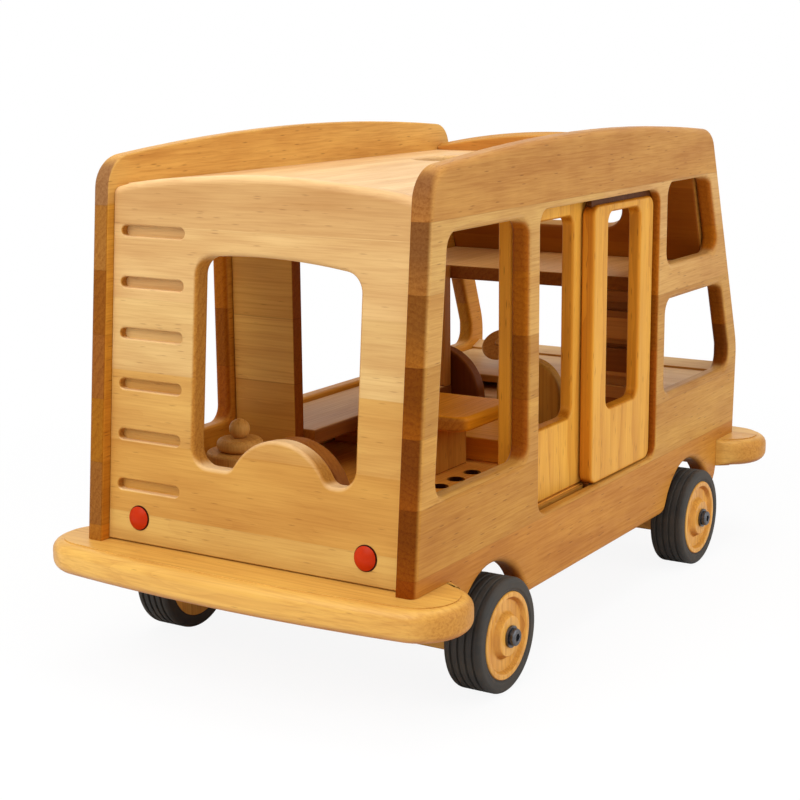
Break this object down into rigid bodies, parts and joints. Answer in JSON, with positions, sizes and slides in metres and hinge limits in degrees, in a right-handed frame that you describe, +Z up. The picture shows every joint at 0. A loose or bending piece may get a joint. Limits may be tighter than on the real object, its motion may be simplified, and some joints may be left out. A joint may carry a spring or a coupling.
{
  "type": "wooden toy camper van",
  "caption": "Wooden toy camper van on rubber-tyred wheels, with board bumpers, arched side panels, sliding door leaves, a furnished cabin and a bed alcove over the cab.",
  "frame": {"origin": "on the ground, midway between the ends of the bumpers and on the van's middle plane", "axes": "+X towards the front of the van, +Y towards its left side, +Z up"},
  "size_m": [0.64, 0.35, 0.388],
  "materials": {
    "stave_wood": "satin oiled",
    "pale_wood": "satin oiled",
    "golden_wood": "satin oiled",
    "tyre_rubber": "matt",
    "dark_steel": "blackened",
    "red_paint": "painted satin"
  },
  "bodies": {
    "van": {"side_panel_left": "stave_wood", "side_panel_right": "stave_wood", "rear_panel": "pale_wood", "windscreen_panel": "pale_wood", "front_panel": "pale_wood", "roof_panel": "pale_wood", "floor_panel": "pale_wood", "rear_bumper": "golden_wood", "front_bumper": "golden_wood", "rear_axle_block": "golden_wood", "front_axle_block": "golden_wood", "wheel_bolts": "dark_steel", "wheel_washers": "dark_steel", "bumper_screws": "dark_steel", "block_screws": "dark_steel", "tail_lamp_left": "red_paint", "tail_lamp_right": "red_paint", "head_lamp_left": "pale_wood", "head_lamp_right": "pale_wood", "alcove_bed": "stave_wood", "ladder_board": "golden_wood", "bed_post": "golden_wood", "bathroom_wall": "pale_wood", "toilet_bowl": "pale_wood", "toilet_lid": "pale_wood", "toilet_knob": "pale_wood", "rear_seat": "pale_wood", "rear_seat_back": "golden_wood", "table_top": "golden_wood", "table_leg": "golden_wood", "worktop": "golden_wood", "worktop_end": "golden_wood", "dinette_bench": "golden_wood", "driver_seat_back": "golden_wood", "passenger_seat_back": "golden_wood", "cab_seat": "golden_wood", "dashboard": "pale_wood", "steering_column": "golden_wood"},
    "wheel_rear_right": {"hub_rear_right": "golden_wood", "tyre_rear_right": "tyre_rubber"},
    "wheel_rear_left": {"hub_rear_left": "golden_wood", "tyre_rear_left": "tyre_rubber"},
    "wheel_front_right": {"hub_front_right": "golden_wood", "tyre_front_right": "tyre_rubber"},
    "wheel_front_left": {"hub_front_left": "golden_wood", "tyre_front_left": "tyre_rubber"},
    "front_door": {"front_door_leaf": "golden_wood"},
    "rear_door": {"rear_door_leaf": "golden_wood"},
    "steering": {"steering_wheel": "pale_wood"}
  },
  "joints": [
    {"name": "wheel_rear_right_spin", "type": "hinge", "parent": "van", "child": "wheel_rear_right", "pos_m": [-0.181, -0.1395, 0.042], "axis": [0, 1, 0], "continuous": true},
    {"name": "wheel_rear_left_spin", "type": "hinge", "parent": "van", "child": "wheel_rear_left", "pos_m": [-0.181, 0.1395, 0.042], "axis": [0, 1, 0], "continuous": true},
    {"name": "wheel_front_right_spin", "type": "hinge", "parent": "van", "child": "wheel_front_right", "pos_m": [0.176, -0.1395, 0.042], "axis": [0, 1, 0], "continuous": true},
    {"name": "wheel_front_left_spin", "type": "hinge", "parent": "van", "child": "wheel_front_left", "pos_m": [0.176, 0.1395, 0.042], "axis": [0, 1, 0], "continuous": true},
    {"name": "front_door_slide", "type": "slide", "parent": "van", "child": "front_door", "axis": [1, 0, 0], "range_m": [-0.094, 0]},
    {"name": "rear_door_slide", "type": "slide", "parent": "van", "child": "rear_door", "axis": [1, 0, 0], "range_m": [0, 0.1]},
    {"name": "steering_spin", "type": "hinge", "parent": "van", "child": "steering", "pos_m": [0.20193, 0.061, 0.17515], "axis": [-0.6428, 0, 0.766], "continuous": true}
  ]
}
